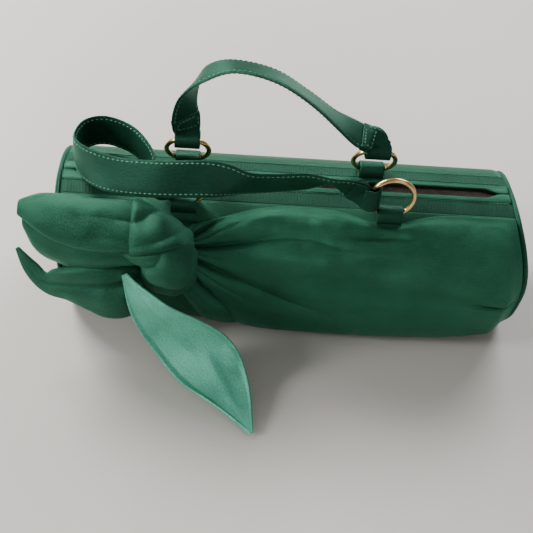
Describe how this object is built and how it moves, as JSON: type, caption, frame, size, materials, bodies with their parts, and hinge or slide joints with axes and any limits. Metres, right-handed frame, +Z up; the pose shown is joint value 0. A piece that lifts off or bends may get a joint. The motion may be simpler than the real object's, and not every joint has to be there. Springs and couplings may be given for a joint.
{
  "type": "barrel evening handbag",
  "caption": "Satin barrel handbag with a draped front gathered into a side bow, piped round ends, a zip top and strap handles on metal rings",
  "frame": {"origin": "middle of the flat base, halfway along the barrel, on the face that the bag rests on", "axes": "+X along the barrel to the right, seen from the front, +Y from the draped front to the back, +Z up"},
  "size_m": [0.335, 0.2021, 0.1897],
  "materials": {
    "body_satin": "smooth satin",
    "drape_satin": "smooth satin",
    "strap_satin": "satin with topstitching",
    "ruched_satin": "finely gathered satin",
    "piping_satin": "satin over cord",
    "lining": "plain weave",
    "zip_tape": "woven tape",
    "zip_bronze": "dark bronze",
    "zip_slider_metal": "polished",
    "ring_gold": "polished pale gold"
  },
  "bodies": {
    "bag": {"front_panel": "body_satin", "back_panel": "body_satin", "base_panel": "body_satin", "end_panel_left": "body_satin", "end_panel_right": "body_satin", "piping_left": "piping_satin", "piping_right": "piping_satin", "top_strip_front": "ruched_satin", "top_strip_back": "ruched_satin", "zip_welt_front": "body_satin", "zip_welt_back": "body_satin", "zip_tape_front": "zip_tape", "zip_tape_back": "zip_tape", "zip_teeth_front": "zip_bronze", "zip_teeth_back": "zip_bronze", "zip_stop_left": "zip_bronze", "zip_stop_right": "zip_bronze", "lining": "lining", "tab_front_left": "strap_satin", "tab_front_right": "strap_satin", "tab_back_left": "strap_satin", "tab_back_right": "strap_satin", "drape_panel": "drape_satin", "bow_knot": "drape_satin", "bow_loop": "drape_satin", "bow_tail_left": "drape_satin", "bow_tail_right": "drape_satin"},
    "zip_slider": {"zip_slider": "zip_slider_metal"},
    "zip_pull": {"zip_pull": "zip_slider_metal"},
    "front_handle": {"handle_front": "strap_satin", "ring_front_left": "ring_gold", "ring_front_right": "ring_gold"},
    "back_ring_left": {"ring_back_left": "ring_gold"},
    "back_ring_right": {"ring_back_right": "ring_gold"},
    "back_handle": {"handle_back": "strap_satin"}
  },
  "joints": [
    {"name": "slider_travel", "type": "slide", "parent": "bag", "child": "zip_slider", "axis": [1, 0, 0], "range_m": [0, 0.246]},
    {"name": "pull_flip", "type": "hinge", "parent": "zip_slider", "child": "zip_pull", "pos_m": [-0.129, -0.006, 0.1015], "axis": [0, -1, 0], "range_deg": [0, 110]},
    {"name": "front_handle_swing", "type": "hinge", "parent": "bag", "child": "front_handle", "pos_m": [0, -0.032, 0.098], "axis": [1, 0, 0], "range_deg": [-1, 25]},
    {"name": "back_ring_left_turn", "type": "hinge", "parent": "bag", "child": "back_ring_left", "pos_m": [-0.073, 0.009, 0.1035], "axis": [1, 0, 0], "range_deg": [-115, 4]},
    {"name": "back_ring_right_turn", "type": "hinge", "parent": "bag", "child": "back_ring_right", "pos_m": [0.054, 0.009, 0.1035], "axis": [1, 0, 0], "range_deg": [-115, 4]},
    {"name": "back_handle_turn", "type": "hinge", "parent": "back_ring_left", "child": "back_handle", "pos_m": [-0.073, -0.00354, 0.12921], "axis": [1, 0, 0], "range_deg": [-15, 30]}
  ],
  "couplings": [
    {"joint": "back_ring_right_turn", "follows": "back_ring_left_turn", "ratio": 1}
  ]
}
